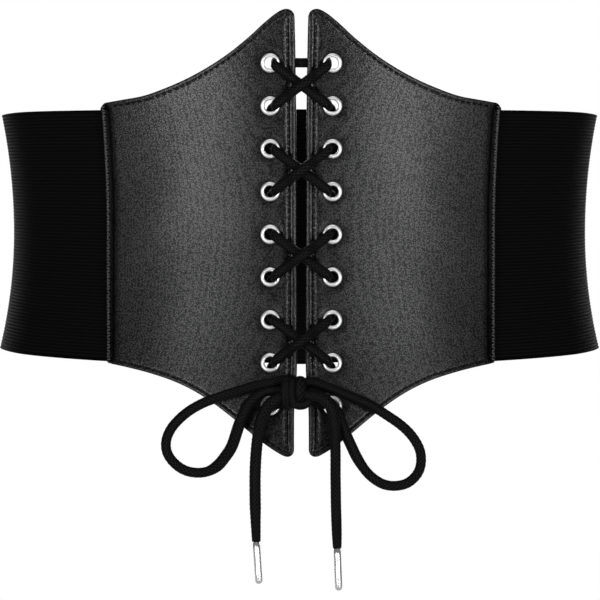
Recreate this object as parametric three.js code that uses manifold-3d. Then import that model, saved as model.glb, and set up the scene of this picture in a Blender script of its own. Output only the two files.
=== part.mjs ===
// A laced corset belt, as it stands round a waist. Two shaped panels of faux leather lie side by side at the front,
// each with a row of round metal eyelets down its centre edge. One cord is laced across the two rows and tied in a
// bow, with a metal aglet on each tail. A wide elastic band runs from panel to panel round the sides and the back.
// Millimetres, +Z up, the front faces -Y. The origin is the middle of the loop at its narrowest height, the waist.
import * as THREE from "three";
import { mergeVertices } from "three/addons/utils/BufferGeometryUtils.js";
import Module from "manifold-3d";

const wasm = await Module();
wasm.setup();

// The loop, measured inside the elastic: how far it reaches at the waist, and how much further above and below.
const WAIST_HALF_WIDTH = 133.8;
const WAIST_HALF_DEPTH = 93.8;
const SIDE_FLARE_TOP = 6.1;
const SIDE_FLARE_BOTTOM = 7.7;
const DEPTH_FLARE = 6.5;

// The panels. Heights go from the waist to the tip, lengths along the leather from the centre front.
const PANEL_TOP = 104.6;
const PANEL_BOTTOM = 103;
const LEATHER = 2;
const SEAM_ARC = 92.8;
const SEAM_SPREAD_TOP = 2;
const SEAM_SPREAD_BOTTOM = -0.8;
const WAIST_GAP = 3.9;
const TIP_RADIUS = 5;
const CORNER_RADIUS = 2.8;

// The gap between the panels, from the lower tips (-1) to the upper ones (1), as shares of the gap at the waist. The
// knot pushes the lower tips apart.
const GAPS = [
  { at: -1, gap: 1.69 },
  { at: -0.86, gap: 1.69 },
  { at: -0.76, gap: 1.6 },
  { at: -0.66, gap: 1.16 },
  { at: -0.56, gap: 0.98 },
  { at: -0.3, gap: 0.94 },
  { at: 0, gap: 1 },
  { at: 0.3, gap: 1.08 },
  { at: 0.6, gap: 1.2 },
  { at: 0.8, gap: 1.35 },
  { at: 1, gap: 1.58 },
];

// The outline of a panel, from its centre edge (0) to its outer seam (1), as shares of the heights above.
const OUTLINE = [
  { at: 0, top: 1, bottom: 1 },
  { at: 0.07, top: 0.98, bottom: 0.974 },
  { at: 0.14, top: 0.933, bottom: 0.936 },
  { at: 0.22, top: 0.868, bottom: 0.883 },
  { at: 0.32, top: 0.797, bottom: 0.812 },
  { at: 0.42, top: 0.739, bottom: 0.748 },
  { at: 0.53, top: 0.687, bottom: 0.691 },
  { at: 0.64, top: 0.646, bottom: 0.649 },
  { at: 0.76, top: 0.611, bottom: 0.617 },
  { at: 0.88, top: 0.593, bottom: 0.593 },
  { at: 1, top: 0.577, bottom: 0.574 },
];

// The elastic. It is a little lower than the panels' outer edges and laps under them.
const ELASTIC = 1.2;
const ELASTIC_INSET_TOP = 2.9;
const ELASTIC_INSET_BOTTOM = 0.3;
const LAP = 9;

// The elastic's two edges, from the seam (0) round the side to the centre back (1), as shares of its heights at the
// seam: stretched over the hips' hollow it narrows, and at the back it hangs a little lower.
const ELASTIC_EDGES = [
  { at: 0, top: 1, bottom: 1 },
  { at: 0.2, top: 0.988, bottom: 0.961 },
  { at: 0.38, top: 0.963, bottom: 0.928 },
  { at: 0.6, top: 0.976, bottom: 0.976 },
  { at: 1, top: 1.025, bottom: 1.115 },
];

// The cord, the eyelets that it runs through, and the gap that touching pieces keep.
const LACE = 4.6;
const LACE_PLAY = 0.55;
const CLEAR = 0.3;
const CROSSINGS = 4;
const EYELET_ARC = 14;
const FIRST_EYELET_DROP = 25.9;
const LAST_EYELET_RISE = 25;
const BARREL_WALL = 0.3;
const FLANGE_WIDTH = 1.3;
const FLANGE_RISE = 0.6;
const WASHER_WIDTH = 1.15;
const WASHER_RISE = 0.45;

// The knot of the bow, beside the last two eyelets and against the panels.
const KNOT_WIDTH = 12.8;
const KNOT_DEPTH = 14;
const KNOT_HEIGHT = 15.5;
const KNOT_SHIFT = -1.6;
const KNOT_RISE = 6.1;

// The aglets.
const AGLET_LENGTH = 18.2;
const AGLET_DIAMETER = 3.3;
const AGLET_LEAN_LEFT = 3.8;
const AGLET_LEAN_RIGHT = 2.2;

// The free stretches of the cord, as [x, y, z] from the middle of the knot. Each starts inside the knot's outline.
const LOOP_LEFT = [
  [-2, 1.8, 4.6], [-6.4, 2.1, 5.7], [-12.7, 2.2, 4.4], [-19.7, 2.4, 3], [-26.7, 2.7, 0.9],
  [-32.8, 3, -1], [-42.5, 3.6, -4.4], [-49.3, 4, -8.1], [-54.3, 4.3, -12.2], [-58.2, 4.6, -16.9],
  [-60.2, 4.6, -22.1], [-59.8, 4.6, -27.3], [-56.8, 4.2, -31.9], [-52.1, 3.9, -35.3], [-46.7, 3.6, -36.6],
  [-41.3, 3.2, -36], [-36.8, 2.8, -33.4], [-33.2, 2.6, -29.2], [-30.1, 2.4, -24.2], [-26.9, 2.1, -14.7],
  [-24.5, 2, -9.1], [-21.5, 2, -4.2], [-15, 2, 0.3], [-6.4, 2, 1], [-2.2, 2, 1.2],
];
const LOOP_RIGHT = [
  [2.3, 2, 4.5], [6.8, 2, 4.8], [11, 2, 3.5], [17.3, 2.1, 1.1], [24.2, 2.4, -1.7],
  [30.3, 2.7, -4.2], [35.6, 3, -7.1], [41.3, 3.4, -10.8], [46.1, 3.8, -14.1], [50.4, 4.1, -17.9],
  [53.6, 4.3, -22], [55.8, 4.3, -26.6], [56.3, 4.3, -31.4], [55.4, 4.1, -35.6], [53, 3.8, -39.1],
  [49.5, 3.5, -41.6], [45.2, 3.2, -42.6], [41.1, 2.8, -42.4], [37.4, 2.6, -41.1], [33.2, 2.4, -38.1],
  [30.1, 2.3, -34.6], [26.9, 2.1, -29.6], [24.3, 1.8, -24.2], [22, 1.2, -19.1], [19.9, 0.4, -13.7],
  [18.3, -0.4, -9.4], [15.5, -0.7, -5.5], [11.2, -0.5, -2], [7.3, 0, -0.3], [3.8, 0.3, 0.6],
];
const TAIL_LEFT = [
  [-2.2, -2.9, -1.6], [-5, -3.3, -1.5], [-8.4, -3.5, -2], [-11.8, -3.2, -4.1], [-14.3, -2.6, -7.1],
  [-16.2, -1.8, -11.1], [-17.5, -1.2, -15.6], [-18.4, -0.7, -20.6], [-19, -0.3, -26.1], [-19.4, 0, -32.1],
  [-19.6, 0.1, -38.1], [-19.6, 0.2, -45.1], [-19.5, 0.2, -52.1], [-19.3, 0.2, -60], [-19, 0.2, -68.8],
];
const TAIL_RIGHT = [
  [2.3, -3.9, -1.1], [6.3, -5.2, -1.1], [10.3, -5.8, -2], [13.5, -5.8, -4.3], [15.5, -5.5, -7.7],
  [16.4, -4.7, -12.1], [16.8, -3.8, -17.1], [17, -3, -23.1], [17.1, -2.4, -30.1], [17.1, -2.1, -37.3],
  [17.2, -2, -44.1], [17.3, -2, -51.1], [17.5, -2, -58.1], [17.7, -2, -64.6], [17.9, -2, -71.7],
];

// How the upper cord of a crossing climbs over the lower one: how far from the middle, in cord widths, and the
// share of the full rise there.
const HUMP = [
  { away: -1.75, rise: 0.2 },
  { away: -0.65, rise: 0.9 },
  { away: 0, rise: 1 },
  { away: 0.65, rise: 0.9 },
  { away: 1.75, rise: 0.2 },
];

// How finely the pieces are divided.
const ROWS = 8;
const PANEL_COLUMNS = 12;
const ELASTIC_COLUMNS = 40;
const ROUND_SIDES = 12;
const LACE_SIDES = 8;
const ARC_STEPS = 24;

const EYELETS = 2 * CROSSINGS + 1;
const BORE_RADIUS = LACE / 2 + LACE_PLAY;
const BARREL_RADIUS = BORE_RADIUS + BARREL_WALL;
const ELASTIC_TOP = PANEL_TOP * OUTLINE.at(-1).top - ELASTIC_INSET_TOP;
const ELASTIC_BOTTOM = PANEL_BOTTOM * OUTLINE.at(-1).bottom - ELASTIC_INSET_BOTTOM;
const LEATHER_INSIDE = ELASTIC + CLEAR;
const LEATHER_OUTSIDE = LEATHER_INSIDE + LEATHER;

const UP = new THREE.Vector3(0, 1, 0);

// A column of a table at a place between its rows, on a smooth curve through them.
function read(rows, column, at) {
  let next = 1;
  while (next < rows.length - 1 && at > rows[next].at) next += 1;
  const slope = (row) => {
    const before = rows[Math.max(row - 1, 0)];
    const after = rows[Math.min(row + 1, rows.length - 1)];
    return (after[column] - before[column]) / (after.at - before.at);
  };
  const span = rows[next].at - rows[next - 1].at;
  const share = (at - rows[next - 1].at) / span;
  const rest = 1 - share;
  return (
    rows[next - 1][column] * (1 + 2 * share) * rest * rest +
    rows[next][column] * (1 + 2 * rest) * share * share +
    span * share * rest * (slope(next - 1) * rest - slope(next) * share)
  );
}

// How far the loop reaches to the side and to the front at a height.
function reach(height) {
  const above = SIDE_FLARE_TOP * (height / ELASTIC_TOP) ** 2;
  const below = SIDE_FLARE_BOTTOM * (height / ELASTIC_BOTTOM) ** 2;
  return {
    side: WAIST_HALF_WIDTH + (height > 0 ? above : below),
    front: WAIST_HALF_DEPTH + DEPTH_FLARE * (height / PANEL_TOP) ** 2,
  };
}

// The angle round the loop, from the centre front, that a length along it reaches.
function angleOf(arc, height) {
  const { side, front } = reach(height);
  let angle = 0;
  for (let step = 0; step < ARC_STEPS; step += 1) {
    angle += arc / ARC_STEPS / Math.hypot(side * Math.cos(angle), front * Math.sin(angle));
  }
  return angle;
}

// A point on the loop: its angle from the centre front, its height, and how far outside the loop it lies.
function onLoop(angle, height, outside) {
  const { side, front } = reach(height);
  const out = new THREE.Vector2(front * Math.sin(angle), -side * Math.cos(angle)).setLength(outside);
  return new THREE.Vector3(side * Math.sin(angle) + out.x, -front * Math.cos(angle) + out.y, height);
}

// The place of an eyelet on the outer face of the right panel, with the directions across, up and out of the leather.
function seatOf(arc, height) {
  const near = 0.5;
  const at = (a, h) => onLoop(angleOf(a, h), h, LEATHER_OUTSIDE);
  const across = at(arc + near, height).sub(at(arc - near, height)).normalize();
  const climb = at(arc, height + near).sub(at(arc, height - near)).normalize();
  const out = new THREE.Vector3().crossVectors(across, climb).normalize();
  return { point: at(arc, height), across, out };
}

// A closed sheet: point(u, v, outer) gives its inner and outer faces on a grid of columns u and rows v.
function sheet(columns, rows, point) {
  const positions = [];
  const faces = [];
  for (const outer of [false, true]) {
    for (const u of columns) {
      for (const v of rows) positions.push(...point(u, v, outer).toArray());
    }
  }
  const wide = columns.length;
  const tall = rows.length;
  const vertex = (column, row, outer) => (outer ? wide * tall : 0) + column * tall + row;
  const quad = (a, b, c, d) => faces.push(a, b, c, a, c, d);
  for (let i = 0; i < wide - 1; i += 1) {
    for (let j = 0; j < tall - 1; j += 1) {
      const corners = [[i, j], [i + 1, j], [i + 1, j + 1], [i, j + 1]];
      quad(...corners.map(([a, b]) => vertex(a, b, true)));
      quad(...corners.map(([a, b]) => vertex(a, b, false)).reverse());
    }
  }
  for (let i = 0; i < wide - 1; i += 1) {
    const top = tall - 1;
    quad(vertex(i, 0, false), vertex(i + 1, 0, false), vertex(i + 1, 0, true), vertex(i, 0, true));
    quad(vertex(i, top, true), vertex(i + 1, top, true), vertex(i + 1, top, false), vertex(i, top, false));
  }
  for (let j = 0; j < tall - 1; j += 1) {
    const last = wide - 1;
    quad(vertex(0, j, true), vertex(0, j + 1, true), vertex(0, j + 1, false), vertex(0, j, false));
    quad(vertex(last, j, false), vertex(last, j + 1, false), vertex(last, j + 1, true), vertex(last, j, true));
  }
  const geometry = new THREE.BufferGeometry();
  geometry.setAttribute("position", new THREE.Float32BufferAttribute(positions, 3));
  geometry.setIndex(faces);
  return geometry;
}

// Evenly spaced shares from 0 to 1.
function shares(count) {
  return Array.from({ length: count + 1 }, (_, k) => k / count);
}

// A closed geometry as a solid that can be joined and cut, and back.
function solidOf(geometry) {
  const bare = new THREE.BufferGeometry();
  bare.setAttribute("position", geometry.getAttribute("position"));
  bare.setIndex(geometry.index);
  const merged = mergeVertices(bare, 1e-4);
  const vertProperties = merged.attributes.position.array;
  const triVerts = new Uint32Array(merged.index.array);
  return new wasm.Manifold(new wasm.Mesh({ numProp: 3, vertProperties, triVerts }));
}

function geometryOf(solid) {
  const mesh = solid.getMesh();
  const geometry = new THREE.BufferGeometry();
  geometry.setAttribute("position", new THREE.BufferAttribute(mesh.vertProperties, mesh.numProp));
  geometry.setIndex(new THREE.BufferAttribute(mesh.triVerts, 1));
  return geometry;
}

function cut(geometry, tools) {
  return geometryOf(tools.reduce((rest, tool) => rest.subtract(solidOf(tool)), solidOf(geometry)));
}

// How far a rounded corner drops below the straight edge, at a distance from the corner.
function roundOff(radius, distance) {
  return distance < radius ? radius - Math.sqrt(radius ** 2 - (radius - distance) ** 2) : 0;
}

// The ends of the right panel at a height, as lengths from the centre front.
function panelEnds(height) {
  const share = height > 0 ? height / ELASTIC_TOP : height / ELASTIC_BOTTOM;
  const spread = height > 0 ? SEAM_SPREAD_TOP : SEAM_SPREAD_BOTTOM;
  const tip = height > 0 ? height / PANEL_TOP : height / PANEL_BOTTOM;
  return {
    inner: (WAIST_GAP / 2) * read(GAPS, "gap", tip),
    outer: SEAM_ARC + spread * share ** 2,
  };
}

// The heights of the panel's two edges at a length from its centre edge.
function panelEdges(length, width) {
  const corner = roundOff(TIP_RADIUS, length) + roundOff(CORNER_RADIUS, width - length);
  const at = length / width;
  return {
    top: PANEL_TOP * read(OUTLINE, "top", at) - corner,
    bottom: -PANEL_BOTTOM * read(OUTLINE, "bottom", at) + corner,
  };
}

function eyeletHeight(row) {
  const first = PANEL_TOP - FIRST_EYELET_DROP;
  const last = LAST_EYELET_RISE - PANEL_BOTTOM;
  return first + ((last - first) * (row - 1)) / (EYELETS - 1);
}

const rowsOfEyelets = Array.from({ length: EYELETS }, (_, k) => k + 1);
const seats = rowsOfEyelets.map((row) => seatOf(EYELET_ARC, eyeletHeight(row)));

// Turns a piece made round the Y axis so that the axis points out of the leather at a seat.
function turnOf(seat) {
  const back = new THREE.Vector3().crossVectors(seat.across, seat.out);
  return new THREE.Quaternion().setFromRotationMatrix(new THREE.Matrix4().makeBasis(seat.across, seat.out, back));
}

// The right panel, flat on the table and then bent round the loop, with a hole for each eyelet's barrel.
function panelGeometry() {
  const { inner, outer } = panelEnds(0);
  const width = outer - inner;
  const tip = [0, 0.1, 0.3, 0.6, 1].map((share) => share * TIP_RADIUS);
  const corner = [0.7, 0.2, 0].map((share) => width - share * CORNER_RADIUS);
  const between = shares(PANEL_COLUMNS).slice(1, -1);
  const plain = between.map((share) => TIP_RADIUS + share * (width - TIP_RADIUS - CORNER_RADIUS));
  const columns = [...tip, ...plain, ...corner];
  const whole = sheet(columns, shares(ROWS), (length, share, outside) => {
    const edges = panelEdges(length, width);
    const height = edges.bottom + share * (edges.top - edges.bottom);
    const ends = panelEnds(height);
    const arc = ends.inner + (length / width) * (ends.outer - ends.inner);
    return onLoop(angleOf(arc, height), height, outside ? LEATHER_OUTSIDE : LEATHER_INSIDE);
  });
  const holes = seats.map((seat) => {
    const hole = new THREE.CylinderGeometry(
      BARREL_RADIUS + CLEAR, BARREL_RADIUS + CLEAR, 4 * LEATHER, ROUND_SIDES);
    hole.applyQuaternion(turnOf(seat));
    return hole.translate(...seat.point.toArray());
  });
  return cut(whole, holes);
}

// An eyelet round the Y axis, its leather's outer face at 0: a raised flange in front, a barrel through the leather
// and a washer rolled flat behind it.
function eyeletGeometry() {
  const flange = CLEAR + FLANGE_RISE;
  const behind = -LEATHER - CLEAR;
  const profile = [
    [BORE_RADIUS, behind - WASHER_RISE],
    [BARREL_RADIUS + WASHER_WIDTH, behind],
    [BARREL_RADIUS, behind],
    [BARREL_RADIUS, CLEAR],
    [BARREL_RADIUS + FLANGE_WIDTH, CLEAR],
    [BORE_RADIUS + FLANGE_WIDTH / 2, flange],
    [BORE_RADIUS, flange - FLANGE_RISE / 3],
    [BORE_RADIUS, behind - WASHER_RISE],
  ];
  return new THREE.LatheGeometry(profile.map(([r, y]) => new THREE.Vector2(r, y)), ROUND_SIDES);
}

// The elastic, from under one panel round the back to under the other.
function elasticGeometry() {
  return sheet(shares(ELASTIC_COLUMNS), shares(ROWS), (share, rise, outside) => {
    const way = 1 - Math.abs(2 * share - 1);
    const top = ELASTIC_TOP * read(ELASTIC_EDGES, "top", way);
    const bottom = -ELASTIC_BOTTOM * read(ELASTIC_EDGES, "bottom", way);
    const height = bottom + rise * (top - bottom);
    const start = angleOf(panelEnds(height).outer - LAP, height);
    return onLoop(start + share * 2 * (Math.PI - start), height, outside ? ELASTIC : 0);
  });
}

// A cord's route. Its rings stand at the route's own points, which lie closer together in the bends.
class Route extends THREE.CatmullRomCurve3 {
  getUtoTmapping(share) {
    return share;
  }
}

function cordGeometry(points) {
  const ring = new THREE.Shape(
    Array.from({ length: LACE_SIDES }, (_, k) => {
      const angle = (2 * Math.PI * k) / LACE_SIDES;
      return new THREE.Vector2((LACE / 2) * Math.cos(angle), (LACE / 2) * Math.sin(angle));
    }),
  );
  const extrudePath = new Route(points);
  return new THREE.ExtrudeGeometry(ring, { steps: points.length - 1, bevelEnabled: false, extrudePath });
}

// The seat of an eyelet on either side. The left side mirrors the right one.
function seatOn(side, row) {
  const { point, out } = seats[row - 1];
  const mirror = new THREE.Vector3(side, 1, 1);
  return { side, row, point: point.clone().multiply(mirror), out: out.clone().multiply(mirror) };
}

// The cord through one eyelet, from behind to the front, bending round the rims towards the places it comes from and
// goes to.
function throughEyelet(seat, comesFrom, goesTo) {
  const bend = BORE_RADIUS;
  const front = CLEAR + FLANGE_RISE + CLEAR + LACE / 2 - bend;
  const behind = -LEATHER - CLEAR - WASHER_RISE - CLEAR - LACE / 2 + bend;
  const toward = (place) => place.clone().sub(seat.point).projectOnPlane(seat.out).normalize();
  const at = (way, along, out) => seat.point.clone().addScaledVector(way, along).addScaledVector(seat.out, out);
  const half = bend * Math.SQRT1_2;
  const back = toward(comesFrom);
  const ahead = toward(goesTo);
  return [
    at(back, bend, behind - bend),
    at(back, bend - half, behind - half),
    at(back, 0, behind),
    at(ahead, 0, front),
    at(ahead, bend - half, front + half),
    at(ahead, bend, front + bend),
  ];
}

// The upper cord of a crossing, between the last point before it and the first one after it.
function hump(before, after) {
  const middle = before.clone().add(after).multiplyScalar(0.5);
  const way = after.clone().sub(before).normalize();
  const forward = new THREE.Vector3(0, -1, 0);
  return HUMP.map(({ away, rise }) =>
    middle.clone().addScaledVector(way, away * LACE).addScaledVector(forward, rise * (LACE + CLEAR)),
  );
}

const knotPlace = onLoop(0, eyeletHeight(EYELETS) + KNOT_RISE, LEATHER_OUTSIDE + CLEAR + KNOT_DEPTH / 2);
knotPlace.x = KNOT_SHIFT;

// The knot's outline, or the same outline grown by a gap, which trims the cords that go into it.
function knotGeometry(gap) {
  const size = [KNOT_WIDTH, KNOT_DEPTH, KNOT_HEIGHT].map((full) => full / 2 + gap);
  return new THREE.SphereGeometry(1, ROUND_SIDES, ROWS).rotateX(Math.PI / 2).scale(...size);
}

// The laced cord. It starts at the knot, climbs to the first row in pairs of eyelets that change sides, crosses
// behind that row, and comes down the other way. Between eyelets of one side it runs behind the leather.
function lacingGeometry() {
  const sideOf = (row) => (Math.floor(row / 2) % 2 === 0 ? -1 : 1);
  const climb = rowsOfEyelets.toReversed().map((row) => seatOn(sideOf(row), row));
  const descent = rowsOfEyelets.map((row) => seatOn(-sideOf(row), row));
  const walk = [...climb, ...descent];
  const entry = knotPlace.clone().add(new THREE.Vector3(0, KNOT_DEPTH / 5, -KNOT_HEIGHT / 6));
  const route = [entry];
  walk.forEach((seat, k) => {
    const outward = k % 2 === 1;
    const before = k > 0 ? walk[k - 1].point : entry;
    const after = k < walk.length - 1 ? walk[k + 1].point : entry;
    const pass = outward ? throughEyelet(seat, before, after) : throughEyelet(seat, after, before).reverse();
    const previous = walk[k - 1];
    if (!outward && previous && (seat.side - previous.side) * (previous.row - seat.row) > 0) {
      route.push(...hump(route.at(-1), pass[0]));
    }
    route.push(...pass);
  });
  route.push(entry);
  return cut(cordGeometry(route), [knotGeometry(CLEAR).translate(...knotPlace.toArray())]);
}

// A free stretch of cord, trimmed where it comes out of the knot.
function freeCordGeometry(points) {
  return cut(cordGeometry(points.map((point) => new THREE.Vector3(...point))), [knotGeometry(CLEAR)]);
}

// A metal tip with rounded ends, hanging down from the origin.
function agletGeometry() {
  const radius = AGLET_DIAMETER / 2;
  const soft = radius / 3;
  const profile = [
    [0, -AGLET_LENGTH],
    [radius - 2 * soft, -AGLET_LENGTH],
    [radius - soft / 2, -AGLET_LENGTH + soft],
    [radius, -AGLET_LENGTH + 3 * soft],
    [radius, -soft],
    [radius - soft, 0],
    [0, 0],
  ];
  return new THREE.LatheGeometry(profile.map(([r, y]) => new THREE.Vector2(r, y)), ROUND_SIDES);
}

const leather = new THREE.MeshStandardMaterial({ color: 0x2b2b2d, roughness: 0.5, metalness: 0 });
const webbing = new THREE.MeshStandardMaterial({ color: 0x0b0b0c, roughness: 0.9, metalness: 0 });
const cord = new THREE.MeshStandardMaterial({ color: 0x131313, roughness: 0.85, metalness: 0 });
const nickel = new THREE.MeshStandardMaterial({ color: 0xd8d8da, roughness: 0.15, metalness: 1 });

function piece(name, geometry, material) {
  const mesh = new THREE.Mesh(geometry, material);
  mesh.name = name;
  return mesh;
}

// One side of the front, made as the right one. The left one is its mirror image.
function frontSide(side, panel, eyelet) {
  const group = new THREE.Group();
  group.add(piece(`panel_${side}`, panel, leather));
  seats.forEach((seat, k) => {
    const mesh = piece(`eyelet_${side}_${k + 1}`, eyelet, nickel);
    mesh.position.copy(seat.point);
    mesh.quaternion.copy(turnOf(seat));
    group.add(mesh);
  });
  group.scale.x = side === "left" ? -1 : 1;
  return group;
}

// A tail of the bow and the aglet below its end, which leans by some degrees towards +X.
function tail(side, points, lean) {
  const group = new THREE.Group();
  group.add(piece(`lace_tail_${side}`, freeCordGeometry(points), cord));
  const tip = piece(`aglet_${side}`, agletGeometry(), nickel);
  const angle = THREE.MathUtils.degToRad(lean);
  tip.quaternion.setFromUnitVectors(UP, new THREE.Vector3(-Math.sin(angle), 0, Math.cos(angle)));
  tip.position.set(...points.at(-1)).addScaledVector(new THREE.Vector3(0, 0, -1), CLEAR);
  group.add(tip);
  return group;
}

function bow() {
  const group = new THREE.Group();
  group.position.copy(knotPlace);
  group.add(piece("bow_knot", knotGeometry(0), cord));
  group.add(piece("lace_loop_left", freeCordGeometry(LOOP_LEFT), cord));
  group.add(piece("lace_loop_right", freeCordGeometry(LOOP_RIGHT), cord));
  group.add(tail("left", TAIL_LEFT, AGLET_LEAN_LEFT));
  group.add(tail("right", TAIL_RIGHT, AGLET_LEAN_RIGHT));
  return group;
}

const panel = panelGeometry();
const eyelet = eyeletGeometry();
const belt = new THREE.Group();
belt.add(frontSide("left", panel, eyelet));
belt.add(frontSide("right", panel, eyelet));
belt.add(piece("elastic_band", elasticGeometry(), webbing));
belt.add(piece("lacing", lacingGeometry(), cord));
belt.add(bow());

export default belt;
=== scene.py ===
# A laced corset belt as it stands round a waist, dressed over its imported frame: two panels of black faux
# leather at the front, joined by one cord that is laced through metal eyelets and tied in a bow, and a ribbed
# elastic band round the sides and the back. Shapes are in millimetres, +Z up, with the front towards -Y.
import math

import bpy
import numpy as np
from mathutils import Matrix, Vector
from mathutils.geometry import delaunay_2d_cdt


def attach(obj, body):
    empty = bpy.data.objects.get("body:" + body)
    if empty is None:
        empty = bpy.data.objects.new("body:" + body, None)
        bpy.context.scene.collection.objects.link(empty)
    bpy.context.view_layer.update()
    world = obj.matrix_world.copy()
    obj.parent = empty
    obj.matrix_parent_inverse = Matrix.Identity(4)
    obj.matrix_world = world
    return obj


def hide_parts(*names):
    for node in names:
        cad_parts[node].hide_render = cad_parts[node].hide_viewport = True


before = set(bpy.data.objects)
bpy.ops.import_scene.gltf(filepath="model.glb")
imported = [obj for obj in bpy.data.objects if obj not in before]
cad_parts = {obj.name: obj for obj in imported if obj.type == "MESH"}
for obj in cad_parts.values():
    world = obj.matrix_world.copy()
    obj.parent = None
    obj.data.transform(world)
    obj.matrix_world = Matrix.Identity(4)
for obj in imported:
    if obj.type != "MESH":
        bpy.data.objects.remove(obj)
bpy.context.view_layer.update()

# The elastic band. The real one is a wide woven elastic with fine ribs that run round the body between two
# plain selvedges. Its ends are sewn under the outer edges of the panels, which it pulls round the waist.
MM = 0.001
WAIST_HALF_WIDTH = 133.8
WAIST_HALF_DEPTH = 93.8
SIDE_FLARE_TOP = 6.1
SIDE_FLARE_BOTTOM = 7.7
DEPTH_FLARE = 6.5
PANEL_TOP = 104.6
PANEL_BOTTOM = 103.0
SEAM_ARC = 92.8
SEAM_SPREAD_TOP = 2.0
SEAM_SPREAD_BOTTOM = -0.8
ELASTIC = 1.2
SEAM_SHARE_TOP = 0.577
SEAM_SHARE_BOTTOM = 0.574
ELASTIC_INSET_TOP = 2.9
ELASTIC_INSET_BOTTOM = 0.3
ELASTIC_TOP = PANEL_TOP * SEAM_SHARE_TOP - ELASTIC_INSET_TOP
ELASTIC_BOTTOM = PANEL_BOTTOM * SEAM_SHARE_BOTTOM - ELASTIC_INSET_BOTTOM
LAP = 9.0
ELASTIC_EDGE_AT = (0, 0.2, 0.38, 0.6, 1)
ELASTIC_EDGE_TOP = (1, 0.988, 0.963, 0.976, 1.025)
ELASTIC_EDGE_BOTTOM = (1, 0.961, 0.928, 0.976, 1.115)
RIBS = 72
RIB_DEPTH = 0.34
RIB_ROUNDING = 0.65
ROWS_IN_RIB = 5
SELVEDGE = 1.5
BAND_COLUMNS = 116
BAND_ROUND = 560
WARP_WAVES = 4.2


def read(places, values, at):
    """Reads a table on a smooth curve through its rows."""
    places = np.asarray(places, float)
    values = np.asarray(values, float)
    padded_places = np.concatenate([places[:1], places, places[-1:]])
    padded_values = np.concatenate([values[:1], values, values[-1:]])
    slopes = (padded_values[2:] - padded_values[:-2]) / (padded_places[2:] - padded_places[:-2])
    after = np.clip(np.searchsorted(places, at, side="left"), 1, len(places) - 1)
    before = after - 1
    span = places[after] - places[before]
    share = (at - places[before]) / span
    rest = 1 - share
    ends = values[before] * (1 + 2 * share) * rest * rest + values[after] * (1 + 2 * rest) * share * share
    return ends + span * share * rest * (slopes[before] * rest - slopes[after] * share)


def loop_reach(height):
    """How far the loop reaches to the side and to the front at a height."""
    above = SIDE_FLARE_TOP * (height / ELASTIC_TOP) ** 2
    below = SIDE_FLARE_BOTTOM * (height / ELASTIC_BOTTOM) ** 2
    side = WAIST_HALF_WIDTH + np.where(height > 0, above, below)
    return side, WAIST_HALF_DEPTH + DEPTH_FLARE * (height / PANEL_TOP) ** 2


def loop_angle(arc, height):
    """The angle round the loop, from the centre front, that a length along it reaches."""
    side, front = loop_reach(height)
    steps = 24
    angle = np.zeros_like(side + arc)
    for _ in range(steps):
        angle = angle + arc / steps / np.hypot(side * np.cos(angle), front * np.sin(angle))
    return angle


def on_loop(angle, height, outside):
    """Points on the loop, from their angles and heights and how far outside the loop they lie."""
    side, front = loop_reach(height)
    out_x = front * np.sin(angle)
    out_y = -side * np.cos(angle)
    away = outside / np.hypot(out_x, out_y)
    aside = side * np.sin(angle) + out_x * away
    back = -front * np.cos(angle) + out_y * away
    return np.stack([aside, back, height + 0 * angle], -1)


def rounded(distance, radius):
    """The share of its full half thickness that a wall has near its edge, so that the edge is round."""
    inside = np.clip(distance / radius, 0, 1)
    return np.sqrt(1 - (1 - inside) ** 2)


def seam_arc(height):
    """How far along the loop the panels' outer edges lie from the centre front."""
    share = np.where(height > 0, height / ELASTIC_TOP, height / ELASTIC_BOTTOM)
    return SEAM_ARC + np.where(height > 0, SEAM_SPREAD_TOP, SEAM_SPREAD_BOTTOM) * share**2


def new_piece(name, points, faces):
    """A smooth mesh object, from points in millimetres."""
    mesh = bpy.data.meshes.new(name)
    faces = faces.tolist() if isinstance(faces, np.ndarray) else faces
    mesh.from_pydata((np.asarray(points) * MM).tolist(), [], faces)
    mesh.polygons.foreach_set("use_smooth", [True] * len(mesh.polygons))
    piece = bpy.data.objects.new(name, mesh)
    bpy.context.scene.collection.objects.link(piece)
    return piece


def store(piece, name, values):
    """Keeps one number for each point of a mesh."""
    attribute = piece.data.attributes.new(name, "FLOAT", "POINT")
    attribute.data.foreach_set("value", np.asarray(values, np.float32).ravel())


class Nodes:
    """A tree of nodes."""

    def __init__(self, tree):
        self.tree = tree

    def node(self, kind, *links, out=0, **settings):
        """Adds a node, links or sets its inputs by name or place, and gives its output."""
        node = self.tree.nodes.new(kind)
        for label, value in settings.items():
            setattr(node, label, value)
        for place, value in links:
            socket = node.inputs[place]
            if isinstance(value, bpy.types.NodeSocket):
                self.tree.links.new(value, socket)
            else:
                socket.default_value = value
        return node.outputs[out]

    def math(self, what, a, b=0.0):
        return self.node("ShaderNodeMath", (0, a), (1, b), operation=what)

    def times(self, a, b):
        return self.math("MULTIPLY", a, b)

    def ridges(self, number, waves):
        """Rounded ridges, from 0 in the grooves to 1 on the crests."""
        return self.math("ABSOLUTE", self.math("SINE", self.times(number, waves)))


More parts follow.
